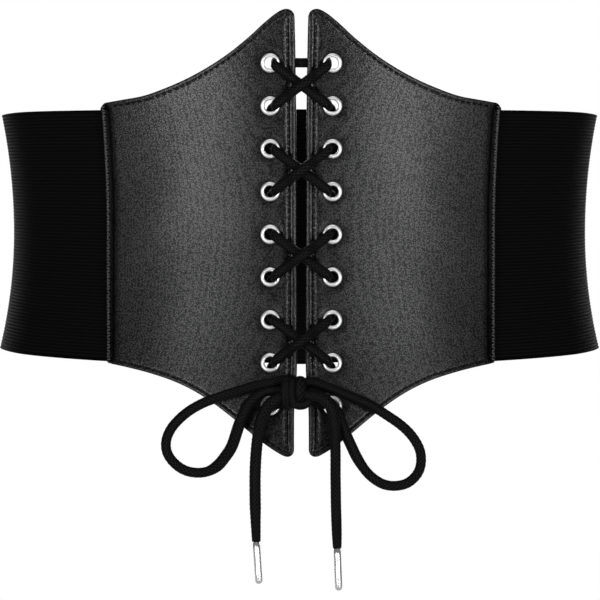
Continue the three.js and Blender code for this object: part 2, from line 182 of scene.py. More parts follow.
class Tree(Nodes):
    """A Geometry Nodes tree with named inputs, built node by node."""

    def __init__(self, name, **inputs):
        super().__init__(bpy.data.node_groups.new(name, "GeometryNodeTree"))
        kinds = {float: "NodeSocketFloat", bpy.types.Material: "NodeSocketMaterial",
                 bpy.types.Object: "NodeSocketObject"}
        self.tree.interface.new_socket("Geometry", in_out="INPUT", socket_type="NodeSocketGeometry")
        for label, kind in inputs.items():
            self.tree.interface.new_socket(label.replace("_", " "), in_out="INPUT", socket_type=kinds[kind])
        self.tree.interface.new_socket("Geometry", in_out="OUTPUT", socket_type="NodeSocketGeometry")
        self.given = self.tree.nodes.new("NodeGroupInput").outputs

    def stored(self, name, kind="FLOAT"):
        """What the mesh keeps at its points under a name."""
        return self.node("GeometryNodeInputNamedAttribute", ("Name", name), data_type=kind)

    def end(self, geometry):
        """Ends the tree in plain geometry with its material."""
        real = self.node("GeometryNodeRealizeInstances", ("Geometry", geometry))
        painted = self.node("GeometryNodeSetMaterial", ("Geometry", real),
                            ("Material", self.given["Material"]))
        self.tree.links.new(painted, self.tree.nodes.new("NodeGroupOutput").inputs[0])

    def grow(self, piece, **values):
        """Runs the tree on a piece and keeps the result as the piece's plain mesh."""
        modifier = piece.modifiers.new(self.tree.name, "NODES")
        modifier.node_group = self.tree
        for socket in self.tree.interface.items_tree:
            label = socket.name.replace(" ", "_")
            if socket.in_out == "INPUT" and label in values:
                modifier[socket.identifier] = values[label]
        graph = bpy.context.evaluated_depsgraph_get()
        mesh = bpy.data.meshes.new_from_object(piece.evaluated_get(graph), depsgraph=graph)
        piece.modifiers.remove(modifier)
        piece.data = mesh


class Finish(Nodes):
    """A procedural material, built node by node round its Principled shader."""

    def __init__(self, name, **plain):
        self.material = bpy.data.materials.new(name)
        self.material.use_nodes = True
        super().__init__(self.material.node_tree)
        self.shader = self.tree.nodes["Principled BSDF"]
        for label, value in plain.items():
            self.shader.inputs[label.replace("_", " ")].default_value = value
        self.place = self.tree.nodes.new("ShaderNodeTexCoord")

    def noise(self, scale, detail, at=None):
        """Noise of a size, as its number of waves in a metre."""
        return self.node("ShaderNodeTexNoise", ("Vector", at or self.place.outputs["Object"]),
                         ("Scale", scale), ("Detail", detail))

    def ramp(self, value, low, high, start=0.0, end=1.0):
        """A number spread from one value to another."""
        return self.node("ShaderNodeMapRange", ("Value", value), ("From Min", start), ("From Max", end),
                         ("To Min", low), ("To Max", high))

    def tint(self, value, dark, light):
        """A colour between two, by a number."""
        return self.node("ShaderNodeMix", ("Factor", value), (6, (*dark, 1)), (7, (*light, 1)), out=2,
                         data_type="RGBA")

    def bump(self, height, distance, strength):
        return self.node("ShaderNodeBump", ("Height", height), ("Distance", distance), ("Strength", strength))

    def fuzz(self, group, fineness, contrast):
        """The shared fibres, at a size and a contrast of their own."""
        return self.node("ShaderNodeGroup", ("Vector", self.place.outputs["Object"]), ("Fineness", fineness),
                         ("Contrast", contrast), out="Fuzz", node_tree=group)

    def number(self, attribute):
        """A number that the mesh keeps at its points."""
        return self.node("ShaderNodeAttribute", attribute_name=attribute, out="Fac")

    def wear(self, **sockets):
        """Links what changes over the surface to the shader."""
        for label, output in sockets.items():
            self.tree.links.new(output, self.shader.inputs[label.replace("_", " ")])
        return self.material


def fibre_group():
    """The fuzz of spun fibres, which the elastic, the cord and the sewing thread share."""
    group = Nodes(bpy.data.node_groups.new("spun fibres", "ShaderNodeTree"))
    face = group.tree.interface
    face.new_socket("Vector", in_out="INPUT", socket_type="NodeSocketVector")
    face.new_socket("Fineness", in_out="INPUT", socket_type="NodeSocketFloat")
    face.new_socket("Contrast", in_out="INPUT", socket_type="NodeSocketFloat")
    face.new_socket("Fuzz", in_out="OUTPUT", socket_type="NodeSocketFloat")
    given = group.tree.nodes.new("NodeGroupInput").outputs
    noise = group.node("ShaderNodeTexNoise", ("Vector", given["Vector"]), ("Scale", given["Fineness"]),
                       ("Detail", 3.0))
    centred = group.math("SUBTRACT", noise, 0.5)
    spread = group.node("ShaderNodeMath", (0, centred), (1, given["Contrast"]), (2, 0.5),
                        operation="MULTIPLY_ADD", use_clamp=True)
    group.tree.links.new(spread, group.tree.nodes.new("NodeGroupOutput").inputs["Fuzz"])
    return group.tree


fibres = fibre_group()


def shared_rim_faces(columns, rows):
    """The faces of a closed wall on a grid, whose outer and inner face share the points of their rim."""
    outer = np.arange(columns * rows).reshape(columns, rows)
    inner = outer.copy()
    within = (columns - 2, rows - 2)
    inner[1:-1, 1:-1] = columns * rows + np.arange(within[0] * within[1]).reshape(within)

    def quads(grid):
        return np.stack([grid[:-1, :-1], grid[1:, :-1], grid[1:, 1:], grid[:-1, 1:]], -1).reshape(-1, 4)

    return np.concatenate([quads(outer), quads(inner)[:, ::-1]])


rim = np.array([0, 0.06, 0.2, 0.42, 0.7, 1.05, SELVEDGE])
ribbed = np.linspace(0, 1, RIBS * ROWS_IN_RIB + 1)
band_height = ELASTIC_TOP + ELASTIC_BOTTOM
ribbed_heights = SELVEDGE + ribbed * (band_height - 2 * SELVEDGE)
heights_up = np.concatenate([rim[:-1], ribbed_heights, band_height - rim[-2::-1]])
plain_rows = 0 * rim[:-1]
ribs_up = np.concatenate([plain_rows, ribbed * RIBS, plain_rows])
relief_up = np.concatenate([plain_rows, np.ones_like(ribbed), plain_rows])
round_way = np.concatenate([[0, 0.0006, 0.0016], np.linspace(0.004, 0.996, BAND_COLUMNS),
                            [0.9984, 0.9994, 1]])
way, up = np.meshgrid(round_way, heights_up, indexing="ij")
from_seam = 1 - np.abs(2 * way - 1)
band_top = ELASTIC_TOP * read(ELASTIC_EDGE_AT, ELASTIC_EDGE_TOP, from_seam)
band_bottom = -ELASTIC_BOTTOM * read(ELASTIC_EDGE_AT, ELASTIC_EDGE_BOTTOM, from_seam)
band_z = band_bottom + up / band_height * (band_top - band_bottom)
first_angle = loop_angle(seam_arc(band_z) - LAP, band_z)
band_angle = first_angle + way * 2 * (math.pi - first_angle)
band_half = ELASTIC / 2 * rounded(np.minimum(up, band_height - up), ELASTIC / 2)
band_half *= rounded(np.minimum(way, 1 - way) * BAND_ROUND, ELASTIC / 2)
outer_face = on_loop(band_angle, band_z, ELASTIC / 2 + band_half)
inner_face = on_loop(band_angle, band_z, ELASTIC / 2 - band_half)
band_shape = band_z.shape
band = new_piece("ribbed_elastic_band",
                 np.concatenate([outer_face.reshape(-1, 3), inner_face[1:-1, 1:-1].reshape(-1, 3)]),
                 shared_rim_faces(*band_shape))


def both_faces(values):
    """A number for each point of the wall's outer face and then of its inner one."""
    grid = np.broadcast_to(values, band_shape)
    return np.concatenate([grid.ravel(), grid[1:-1, 1:-1].ravel()])


store(band, "rib", both_faces(ribs_up[None, :]))
store(band, "relief", both_faces(relief_up[None, :]))
store(band, "round", both_faces(way * BAND_ROUND))

elastic_finish = Finish("woven elastic", Roughness=0.82, Specular_IOR_Level=0.05)
warp = elastic_finish.ridges(elastic_finish.number("round"), WARP_WAVES)
on_rib = elastic_finish.ridges(elastic_finish.number("rib"), math.pi)
fuzz = elastic_finish.fuzz(fibres, 1800.0, 2.5)
weave = elastic_finish.math("ADD", elastic_finish.times(warp, 0.6), elastic_finish.times(fuzz, 0.4))
# Painted shade: the colour is darker in the grooves between the ribs, mixed with the fibres' own random tone.
rib_groove_shade_and_fibre_tone = elastic_finish.times(on_rib, elastic_finish.ramp(fuzz, 0.55, 1.25))
elastic_finish.wear(
    Base_Color=elastic_finish.tint(rib_groove_shade_and_fibre_tone, (0.0004, 0.0004, 0.0005), (0.0046, 0.0046, 0.005)),
    Roughness=elastic_finish.ramp(fuzz, 0.7, 0.9),
    Normal=elastic_finish.bump(weave, 0.00012, 0.6),
)

rib_tree = Tree("woven ribs", Depth=float, Material=bpy.types.Material)
crest = rib_tree.ridges(rib_tree.stored("rib"), math.pi)
sunk = rib_tree.math("SUBTRACT", rib_tree.math("POWER", crest, RIB_ROUNDING), 1.0)
masked = rib_tree.times(sunk, rib_tree.stored("relief"))
deep = rib_tree.times(masked, rib_tree.given["Depth"])
normal = rib_tree.node("GeometryNodeInputNormal")
offset = rib_tree.node("ShaderNodeVectorMath", (0, normal), ("Scale", deep), operation="SCALE")
shaped = rib_tree.node("GeometryNodeSetPosition", ("Geometry", rib_tree.given["Geometry"]),
                       ("Offset", offset))
rib_tree.end(shaped)
rib_tree.grow(band, Depth=RIB_DEPTH * MM, Material=elastic_finish.material)
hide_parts("elastic_band")
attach(band, "root")

# The two panels of the front. Each is a shaped piece of faux leather about 2 mm thick, with turned and
# topstitched edges and a wider turned strip down the centre edge. Its outer edge is rolled into a bead over
# the elastic and sewn down on it.
LEATHER = 2.0
CLEAR = 0.3
LEATHER_MIDDLE = ELASTIC + CLEAR + LEATHER / 2
LEATHER_OUTSIDE = ELASTIC + CLEAR + LEATHER
WAIST_GAP = 3.9
GAP_AT = (-1, -0.86, -0.76, -0.66, -0.56, -0.3, 0, 0.3, 0.6, 0.8, 1)
GAP_SHARE = (1.69, 1.69, 1.6, 1.16, 0.98, 0.94, 1, 1.08, 1.2, 1.35, 1.58)
TIP_RADIUS = 5.0
CORNER_RADIUS = 2.8
OUTLINE_AT = (0, 0.07, 0.14, 0.22, 0.32, 0.42, 0.53, 0.64, 0.76, 0.88, 1)
OUTLINE_TOP = (1, 0.98, 0.933, 0.868, 0.797, 0.739, 0.687, 0.646, 0.611, 0.593, SEAM_SHARE_TOP)
OUTLINE_BOTTOM = (1, 0.974, 0.936, 0.883, 0.812, 0.748, 0.691, 0.649, 0.617, 0.593, SEAM_SHARE_BOTTOM)
LACE = 4.6
BORE_RADIUS = LACE / 2 + 0.55
BARREL_RADIUS = BORE_RADIUS + 0.3
EYELET_ARC = 14.0
EYELETS = 9
FIRST_EYELET = PANEL_TOP - 25.9
LAST_EYELET = 25.0 - PANEL_BOTTOM
TURNED_EDGE = 2.3
TURNED_CENTRE = 3.5
BEAD = 2.4
STITCH_PITCH = 3.1
STITCH_LENGTH = 2.0
BEAD_RISE = 0.45
SEAM_SINK = 1.0
GROOVE = 0.36
DIMPLE = 0.2
WRINKLE = 0.16
RIM_ROUND = 0.5
HOLE_ROUND = 0.4
EYELET_SINK = 0.25
GRAIN = 1500.0
HOLE_SIDES = 36
MESH_STEP = 1.5
EDGE_RINGS = (0.1, 0.3, 0.6, 0.95, 1.3, 1.6, 1.9, 2.2, 2.55, 2.9, 3.2, 3.55, 4.0, 4.7, 5.6)
INSIDE_RINGS = 6.3
HOLE_RINGS = (0.15, 0.4, 0.8, 1.3, 1.9, 2.6)
OUTSIDE_HOLE_RINGS = 3.3


def centre_arc(height):
    """How far along the loop the panels' centre edges lie from the centre front."""
    return WAIST_GAP / 2 * read(GAP_AT, GAP_SHARE, height / np.where(height > 0, PANEL_TOP, PANEL_BOTTOM))


def round_off(radius, distance):
    """How much a rounded corner takes off a height, at a distance from its side."""
    near = np.clip(distance, 0, radius)
    return radius - np.sqrt(radius**2 - (radius - near) ** 2)


def cut_outline():
    """The right panel's cut edge in the flat, anticlockwise, and which points are centre edge and seam."""
    width = SEAM_ARC - WAIST_GAP / 2
    turn = np.linspace(0, math.pi / 2, 9)
    tip = TIP_RADIUS * (1 - np.cos(turn))
    corner = width - CORNER_RADIUS * (1 - np.cos(turn[::-1]))
    lengths = np.concatenate([tip, np.linspace(TIP_RADIUS, width - CORNER_RADIUS, 96)[1:-1], corner])
    rounding = round_off(TIP_RADIUS, lengths) + round_off(CORNER_RADIUS, width - lengths)
    top = PANEL_TOP * read(OUTLINE_AT, OUTLINE_TOP, lengths / width) - rounding
    bottom = -PANEL_BOTTOM * read(OUTLINE_AT, OUTLINE_BOTTOM, lengths / width) + rounding

    def spread(heights):
        return centre_arc(heights) + lengths / width * (seam_arc(heights) - centre_arc(heights))

    seam = np.linspace(bottom[-1], top[-1], 120)[1:-1]
    centre = np.linspace(top[0], bottom[0], 210)[1:-1]
    parts = [(spread(bottom), bottom, 0, 0), (seam_arc(seam), seam, 0, 1),
             (spread(top)[::-1], top[::-1], 0, 0), (centre_arc(centre), centre, 1, 0)]
    points = np.concatenate([np.stack([x, y], -1) for x, y, _, _ in parts])
    on_centre = np.concatenate([np.full(len(x), float(c)) for x, _, c, _ in parts])
    on_seam = np.concatenate([np.full(len(x), float(s)) for x, _, _, s in parts])
    return points, on_centre, on_seam


def distance_to(points, path, closed=True):
    """The distance of each point to a path, and the place of the nearest segment's start in it."""
    start = path if closed else path[:-1]
    leg = (np.roll(path, -1, 0) if closed else path[1:]) - start
    best = np.full(len(points), 1e9)
    where = np.zeros(len(points), int)
    for k in range(0, len(points), 2000):
        away = points[k:k + 2000, None] - start[None]
        share = np.clip((away * leg).sum(-1) / np.maximum((leg * leg).sum(-1), 1e-12), 0, 1)
        gap = np.linalg.norm(away - share[..., None] * leg, axis=-1)
        where[k:k + 2000] = gap.argmin(1)
        best[k:k + 2000] = gap.min(1)
    return best, where


def inside_path(points, path):
    """True for each point inside a closed path."""
    after = np.roll(path, -1, 0)
    odd = np.zeros(len(points), bool)
    for (x0, y0), (x1, y1) in zip(path, after):
        crosses = (y0 > points[:, 1]) != (y1 > points[:, 1])
        if crosses.any():
            at = x0 + (points[:, 1] - y0) / (y1 - y0 if y1 != y0 else 1e-12) * (x1 - x0)
            odd ^= crosses & (points[:, 0] < at)
    return odd


def inward(path):
    """The directions into a closed anticlockwise path at its points."""
    along = np.roll(path, -1, 0) - np.roll(path, 1, 0)
    along /= np.linalg.norm(along, axis=1)[:, None]
    return np.stack([-along[:, 1], along[:, 0]], -1)


def softened(values, reach):
    """Numbers round a closed path, each blended with its neighbours."""
    kernel = np.hanning(2 * reach + 3)[1:-1]
    wrapped = np.concatenate([values[-reach:], values, values[:reach]])
    return np.convolve(wrapped, kernel / kernel.sum(), "valid")


outline, on_centre, on_seam = cut_outline()
into = inward(outline)
eyelet_heights = np.linspace(FIRST_EYELET, LAST_EYELET, EYELETS)
eyelet_centres = np.stack([np.full(EYELETS, EYELET_ARC), eyelet_heights], -1)
hole_radius = BARREL_RADIUS + CLEAR
turn = np.linspace(0, 2 * math.pi, HOLE_SIDES + 1)[:-1]
circle = np.stack([np.cos(turn), np.sin(turn)], -1)

flat_points = [outline]
for ring in EDGE_RINGS:
    moved = outline + into * ring
    moved = moved[distance_to(moved, outline)[0] > ring - 0.05]
    flat_points.append(moved[:: 2 if ring > 3.8 else 1])
flat_holes = [centre + circle * hole_radius for centre in eyelet_centres]
for grown in HOLE_RINGS:
    flat_points += [centre + circle * (hole_radius + grown) for centre in eyelet_centres]
grid_x, grid_y = np.meshgrid(np.arange(0, 100, MESH_STEP), np.arange(-105, 106, MESH_STEP * 0.866))
grid_x[::2] += MESH_STEP / 2
grid = np.stack([grid_x.ravel(), grid_y.ravel()], -1)
grid = grid[inside_path(grid, outline)]
grid = grid[distance_to(grid, outline)[0] > INSIDE_RINGS]
hole_gap = np.linalg.norm(grid[:, None] - eyelet_centres[None], axis=-1).min(1)
flat_points.append(grid[hole_gap > hole_radius + OUTSIDE_HOLE_RINGS])
flat = np.concatenate(flat_points[:1] + flat_holes + flat_points[1:])

edge_count = len(outline)
edges = [(k, (k + 1) % edge_count) for k in range(edge_count)]
for hole in range(EYELETS):
    first = edge_count + hole * len(circle)
    edges += [(first + k, first + (k + 1) % len(circle)) for k in range(len(circle))]
cut = delaunay_2d_cdt([Vector(p) for p in flat.tolist()], edges, [], 1, 1e-5)
flat = np.array([tuple(p) for p in cut[0]])
triangles = np.array(cut[2])
middles = flat[triangles].mean(1)
in_hole = np.linalg.norm(middles[:, None] - eyelet_centres[None], axis=-1).min(1) < hole_radius * 0.995
triangles = triangles[~in_hole]
a, b, c = (flat[triangles[:, k]] for k in range(3))
turned = (b - a)[:, 0] * (c - a)[:, 1] - (b - a)[:, 1] * (c - a)[:, 0] < 0
triangles[turned] = triangles[turned][:, ::-1]
kept = np.unique(triangles)
renumber = np.full(len(flat), -1)
renumber[kept] = np.arange(len(kept))
flat = flat[kept]
triangles = renumber[triangles]

to_edge, nearest = distance_to(flat, outline)
to_hole = np.abs(np.linalg.norm(flat[:, None] - eyelet_centres[None], axis=-1).min(1) - hole_radius)
to_seam = distance_to(flat, outline[on_seam > 0.5], closed=False)[0]
inset = TURNED_EDGE + (TURNED_CENTRE - TURNED_EDGE) * softened(on_centre, 6)
seam_places = np.flatnonzero(on_seam > 0.5)
order = np.roll(np.arange(len(outline)), -(seam_places[-1] + 1))[:len(outline) - len(seam_places)]
stitch_line = (outline + into * inset[:, None])[order]
stitch_line = stitch_line[stitch_line[:, 0] < seam_arc(stitch_line[:, 1]) - BEAD - 1.6]
to_stitch, stitch_leg = distance_to(flat, stitch_line, closed=False)
stitch_run = np.concatenate([[0], np.cumsum(np.linalg.norm(np.diff(stitch_line, axis=0), axis=1))])
stitch_way = np.diff(stitch_line, axis=0)[stitch_leg]
stitch_way /= np.linalg.norm(stitch_way, axis=1)[:, None]
stitch_along = stitch_run[stitch_leg] + ((flat - stitch_line[stitch_leg]) * stitch_way).sum(1)
rim_share = rounded(to_edge, RIM_ROUND) * rounded(to_hole, HOLE_ROUND)
half = LEATHER / 2 * rim_share
seam_near = np.clip(1 - np.abs(to_seam - BEAD / 2) / (BEAD / 2), 0, 1)
lift = BEAD_RISE * np.sqrt(seam_near) * (to_seam < BEAD)
lift -= SEAM_SINK * np.exp(-(((to_seam - BEAD - 0.9) / np.where(to_seam < BEAD + 0.9, 0.7, 1.7)) ** 2))
near_seam = np.clip((to_seam - 2) / 6, 0, 1)
centre_share = softened(on_centre, 6)[nearest]
groove = np.where(to_edge > inset[nearest], GROOVE + 0.35 * centre_share, GROOVE)
lift -= (0.04 + 0.46 * centre_share) * np.exp(-((to_stitch / groove) ** 2)) * near_seam
between = np.clip(to_edge / inset[nearest], 0, 1)
lift += (0.1 + 0.26 * centre_share) * np.sin(math.pi * between) * (to_edge < inset[nearest]) * near_seam
lift -= EYELET_SINK * np.exp(-((np.clip(to_hole - 1.1, 0, None) / 1.4) ** 2))
dimple = 0.5 + 0.5 * np.cos(2 * math.pi * stitch_along / STITCH_PITCH)
lift -= DIMPLE * dimple * np.exp(-((to_stitch / 0.5) ** 2)) * near_seam
lift *= rim_share
rim_points = np.flatnonzero(half < 1e-4)
half[rim_points] = 0
lift[rim_points] = 0
inner_number = np.arange(len(flat)) + len(flat)
inner_number[rim_points] = rim_points
body_points = np.setdiff1d(np.arange(len(flat)), rim_points)
packed = np.full(2 * len(flat), -1)
packed[:len(flat)] = np.arange(len(flat))
packed[inner_number[body_points]] = len(flat) + np.arange(len(body_points))
panel_angle = loop_angle(flat[:, 0], flat[:, 1])
waves = WRINKLE * np.sin(flat[:, 0] / 9 + 2.1 * np.sin(flat[:, 1] / 31)) * np.sin(flat[:, 1] / 17 + 0.6)
leather_front = on_loop(panel_angle, flat[:, 1], LEATHER_MIDDLE + half + lift + waves * rim_share)
leather_back = on_loop(panel_angle, flat[:, 1], LEATHER_MIDDLE - half)[body_points]
panel_faces = np.concatenate([triangles, packed[inner_number[triangles]][:, ::-1]])

leather_finish = Finish("black faux leather")
pebble = leather_finish.node("ShaderNodeTexVoronoi", ("Vector", leather_finish.place.outputs["Object"]),
                             ("Scale", GRAIN), ("Randomness", 0.75))
creases = leather_finish.noise(GRAIN, 1.0)
cloud = leather_finish.noise(28.0, 3.0)
grain = leather_finish.math("ADD", leather_finish.times(pebble, -1.0), leather_finish.times(creases, 0.35))
top_of_grain = leather_finish.ramp(grain, 0.0, 1.0, -0.42, 0.0)
mottled = leather_finish.times(top_of_grain, leather_finish.ramp(cloud, 0.85, 1.15, 0.3, 0.7))
# Painted shade: the colour and the reflection are darkened beside the stitches, in the groove past the seam's
# bead, round the eyelets and along the cut edges, where those recesses and rims would be shaded.
beside_stitch = leather_finish.ramp(leather_finish.number("stitch gap"), 1.0, 0.0, 0.15, 0.5)
seam_gap = leather_finish.number("seam gap")
past_seam = leather_finish.ramp(seam_gap, 1.0, 0.0, BEAD + 1.0, BEAD + 2.8)
beside_seam = leather_finish.math("MINIMUM", leather_finish.ramp(seam_gap, 0.0, 1.0, 1.5, 2.1), past_seam)
beside_eyelet = leather_finish.ramp(leather_finish.number("hole gap"), 0.4, 0.0, 0.8, 2.4)
beside_edge = leather_finish.ramp(leather_finish.number("edge gap"), 1.0, 0.0, 0.1, 0.45)
stitch_turn = leather_finish.times(leather_finish.number("stitch along"), 2 * math.pi / STITCH_PITCH)
beat = leather_finish.math("COSINE", stitch_turn)
painted_stitch_shade = leather_finish.times(beside_stitch, leather_finish.ramp(beat, 0.0, 1.0, -0.75, -0.25))
# The darkest of these painted shades is taken off the colour and the reflection.
painted_recess_shade = leather_finish.math("MAXIMUM", leather_finish.math("MAXIMUM", painted_stitch_shade, beside_seam),
                              leather_finish.math("MAXIMUM", beside_eyelet, beside_edge))
open_to_light = leather_finish.math("SUBTRACT", 1.0, leather_finish.times(painted_recess_shade, 0.9))
grain_under_painted_shade = leather_finish.times(mottled, open_to_light)
leather_finish.wear(
    Base_Color=leather_finish.tint(grain_under_painted_shade, (0.0005, 0.0005, 0.0006), (0.014, 0.014, 0.0149)),
    Roughness=leather_finish.ramp(cloud, 0.3, 0.34, 0.3, 0.7),
    Specular_IOR_Level=leather_finish.times(leather_finish.ramp(top_of_grain, 0.19, 0.76), open_to_light),
    Normal=leather_finish.bump(grain, 0.00005, 1.0),
)

SIDES = (("left", -1), ("right", 1))
gaps = {
    "stitch gap": to_stitch / (1 + 0.9 * centre_share),
    "stitch along": stitch_along,
    "seam gap": to_seam,
    "hole gap": to_hole,
    "edge gap": to_edge + 3 * centre_share - 0.7 * np.exp(-((to_seam / 3) ** 2)),
}
for name, side in SIDES:
    points = np.concatenate([leather_front, leather_back]) * (side, 1, 1)
    panel = new_piece(f"leather_panel_{name}", points, panel_faces[:, ::side])
    for label, values in gaps.items():
        store(panel, label, np.concatenate([values, values[body_points]]))
    panel.data.materials.append(leather_finish.material)
    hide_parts(f"panel_{name}")
    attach(panel, "root")

# The stitching of the panels. A black thread is sewn round inside the turned edges, and each stitch lies in
# the groove that it pulls into the leather. A shinier thread zigzags over the bead of the outer edge and
# holds it down on the elastic. Its colour is flecked light grey: painted glints, over the thread's own sheen.
THREAD = 0.5
THREAD_SUNK = 0.32
OVERCAST_INSET = 1.9
OVERCAST_PITCH = 1.35
OVERCAST_LENGTH = 1.8
OVERCAST_THREAD = 0.75
OVERCAST_SLANT = 0.8
OVERCAST_RISE = 0.42

thread_finish = Finish("sewing thread", Roughness=0.6, Specular_IOR_Level=0.4)
spun = thread_finish.fuzz(fibres, 5200.0, 1.5)
thread_finish.wear(
    Base_Color=thread_finish.tint(spun, (0.002, 0.002, 0.0021), (0.009, 0.009, 0.0094)),
    Normal=thread_finish.bump(spun, 0.00005, 0.5),
)

glint_painted_thread_finish = Finish("overcast thread", Specular_IOR_Level=0.7)
# Painted glints: the thread's colour is flecked up to light grey at random, standing in for glints on its
# twist.
twist_and_painted_glints = glint_painted_thread_finish.fuzz(fibres, 2600.0, 2.5)
glint_painted_thread_finish.wear(
    Base_Color=glint_painted_thread_finish.tint(twist_and_painted_glints, (0.006, 0.006, 0.0063), (0.1, 0.1, 0.104)),
    Roughness=glint_painted_thread_finish.ramp(twist_and_painted_glints, 0.6, 0.35),
)

stitch_tree = Tree("sewn stitches", Length=float, Width=float, Material=bpy.types.Material)
bead = stitch_tree.node("GeometryNodeMeshUVSphere", ("Segments", 8), ("Rings", 5), ("Radius", 0.5))
along = stitch_tree.stored("along", "FLOAT_VECTOR")
lengthwise = stitch_tree.node("FunctionNodeAlignRotationToVector", ("Vector", along), axis="X")
out_of = stitch_tree.stored("out", "FLOAT_VECTOR")
flat_on = stitch_tree.node("FunctionNodeAlignRotationToVector", ("Rotation", lengthwise), ("Vector", out_of),
                           axis="Z", pivot_axis="X")
shape = stitch_tree.node("ShaderNodeCombineXYZ", ("X", stitch_tree.given["Length"]),
                         ("Y", stitch_tree.given["Width"]), ("Z", stitch_tree.given["Width"]))
stitches = stitch_tree.node("GeometryNodeInstanceOnPoints", ("Points", stitch_tree.given["Geometry"]),
                            ("Instance", bead), ("Rotation", flat_on), ("Scale", shape))
real = stitch_tree.node("GeometryNodeRealizeInstances", ("Geometry", stitches))
stitch_tree.end(stitch_tree.node("GeometryNodeSetShadeSmooth", ("Geometry", real)))


def surface_at(flat_line, outside):
    """Points in millimetres over the right panel's outer face, from their places in the flat."""
    return on_loop(loop_angle(flat_line[:, 0], flat_line[:, 1]), flat_line[:, 1], LEATHER_OUTSIDE + outside)


def places_for(name, points, **directions):
    """A mesh of bare points in millimetres, each with its directions, for Geometry Nodes to set pieces on."""
    piece = new_piece(name, points, [])
    for label, vectors in directions.items():
        attribute = piece.data.attributes.new(label, "FLOAT_VECTOR", "POINT")
        attribute.data.foreach_set("vector", np.asarray(vectors, np.float32).ravel())
    return piece


def sewn(name, middles, ends, outside, side, length, width, finish):
    """Stitches over a panel, from their middles and their forward ends in the flat."""
    at = surface_at(middles, outside)
    line = places_for(name, at * (side, 1, 1), along=(surface_at(ends, outside) - at) * (side, 1, 1),
                      out=(surface_at(middles, outside + 1) - at) * (side, 1, 1))
    stitch_tree.grow(line, Length=length * MM, Width=width * MM, Material=finish)
    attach(line, "root")


stitch_at = np.arange(0, stitch_run[-1] - 0.6, STITCH_PITCH)
stitch_middles = np.stack([np.interp(stitch_at, stitch_run, stitch_line[:, k]) for k in (0, 1)], -1)
stitch_ends = np.stack([np.interp(stitch_at + 0.5, stitch_run, stitch_line[:, k]) for k in (0, 1)], -1)
overcast_z = np.arange(-ELASTIC_BOTTOM, ELASTIC_TOP + 1.6, OVERCAST_PITCH)
overcast_middles = np.stack([seam_arc(overcast_z) - OVERCAST_INSET, overcast_z], -1)
lean = np.where(np.arange(len(overcast_z)) % 2 == 0, OVERCAST_SLANT, -OVERCAST_SLANT)
overcast_ends = overcast_middles + np.stack([lean, np.full(len(lean), 0.4)], -1)
for name, side in SIDES:
    sewn(f"topstitch_{name}", stitch_middles, stitch_ends, -THREAD_SUNK, side, STITCH_LENGTH, THREAD,
         thread_finish.material)
    sewn(f"overcast_{name}", overcast_middles, overcast_ends, OVERCAST_RISE, side, OVERCAST_LENGTH,
         OVERCAST_THREAD, glint_painted_thread_finish.material)

# The eyelets. Each is a nickel-plated ring: its barrel goes through a hole punched in the leather, its domed
# flange lies on the front, and the barrel's end is rolled over flat behind.
FLANGE_WIDTH = 1.3
FLANGE_RISE = 0.6
WASHER_WIDTH = 1.15
WASHER_RISE = 0.45


def seat_of(height):
    """An eyelet's place on the outer face of the right panel, and the direction out of the leather."""
    def at(arc, level):
        angle = loop_angle(np.array(arc), np.array(level))
        return Vector(on_loop(angle, np.array(level), LEATHER_OUTSIDE).tolist())

    across = (at(EYELET_ARC + 0.5, height) - at(EYELET_ARC - 0.5, height)).normalized()
    climb = (at(EYELET_ARC, height + 0.5) - at(EYELET_ARC, height - 0.5)).normalized()
    return at(EYELET_ARC, height), across.cross(climb).normalized()


def lathe(profile, sides):
    """Points and faces of a closed profile of radii and heights turned round the Z axis."""
    turn = np.linspace(0, 2 * math.pi, sides + 1)[:-1]
    rings = np.array([[(r * math.cos(t), r * math.sin(t), z) for t in turn] for r, z in profile])
    number = np.arange(len(profile) * sides).reshape(len(profile), sides)
    after = np.roll(number, -1, 1)
    below = np.roll(number, -1, 0)
    return rings.reshape(-1, 3), np.stack([number, after, np.roll(below, -1, 1), below], -1).reshape(-1, 4)


front_outer = BARREL_RADIUS + FLANGE_WIDTH
behind = -LEATHER - CLEAR
eyelet_profile = [
    (BORE_RADIUS, behind - WASHER_RISE * 0.6),
    (BORE_RADIUS + 0.25, behind - WASHER_RISE),
    (BARREL_RADIUS + WASHER_WIDTH - 0.2, behind - 0.2),
    (BARREL_RADIUS + WASHER_WIDTH, behind),
    (BARREL_RADIUS, behind + 0.02),
    (BARREL_RADIUS, CLEAR - 0.12),
    (front_outer - 0.12, CLEAR - 0.1),
    (front_outer, CLEAR),
    (front_outer - 0.04, CLEAR + 0.14),
    (front_outer - 0.2, CLEAR + 0.32),
    (front_outer - 0.5, CLEAR + 0.48),
    (front_outer - 0.85, CLEAR + 0.57),
    (BORE_RADIUS + 0.65, CLEAR + FLANGE_RISE),
    (BORE_RADIUS + 0.3, CLEAR + 0.56),
    (BORE_RADIUS, CLEAR + 0.42),
    (BORE_RADIUS - 0.18, CLEAR + 0.15),
    (BORE_RADIUS - 0.2, CLEAR - 0.2),
    (BORE_RADIUS - 0.05, CLEAR - 0.8),
]
points, faces = lathe(eyelet_profile[::-1], 48)
master = new_piece("eyelet_master", points, faces)


def nickel(name, smooth, rough):
    """Nickel plate between two roughnesses, hazed and finely scratched."""
    plate = Finish(name, Metallic=1.0)
    haze = plate.noise(900.0, 4.0)
    stretched = plate.node("ShaderNodeMapping", ("Vector", plate.place.outputs["Object"]),
                           ("Scale", (1.0, 1.0, 6.0)))
    scratches = plate.noise(1400.0, 3.0, stretched)
    return plate.wear(
        Base_Color=plate.tint(haze, (0.9, 0.9, 0.905), (0.97, 0.97, 0.975)),
        Roughness=plate.ramp(haze, smooth, rough, 0.3, 0.7),
        Normal=plate.bump(scratches, 0.000002, 0.3),
    )


tumbled_nickel = nickel("tumbled nickel", 0.38, 0.44)

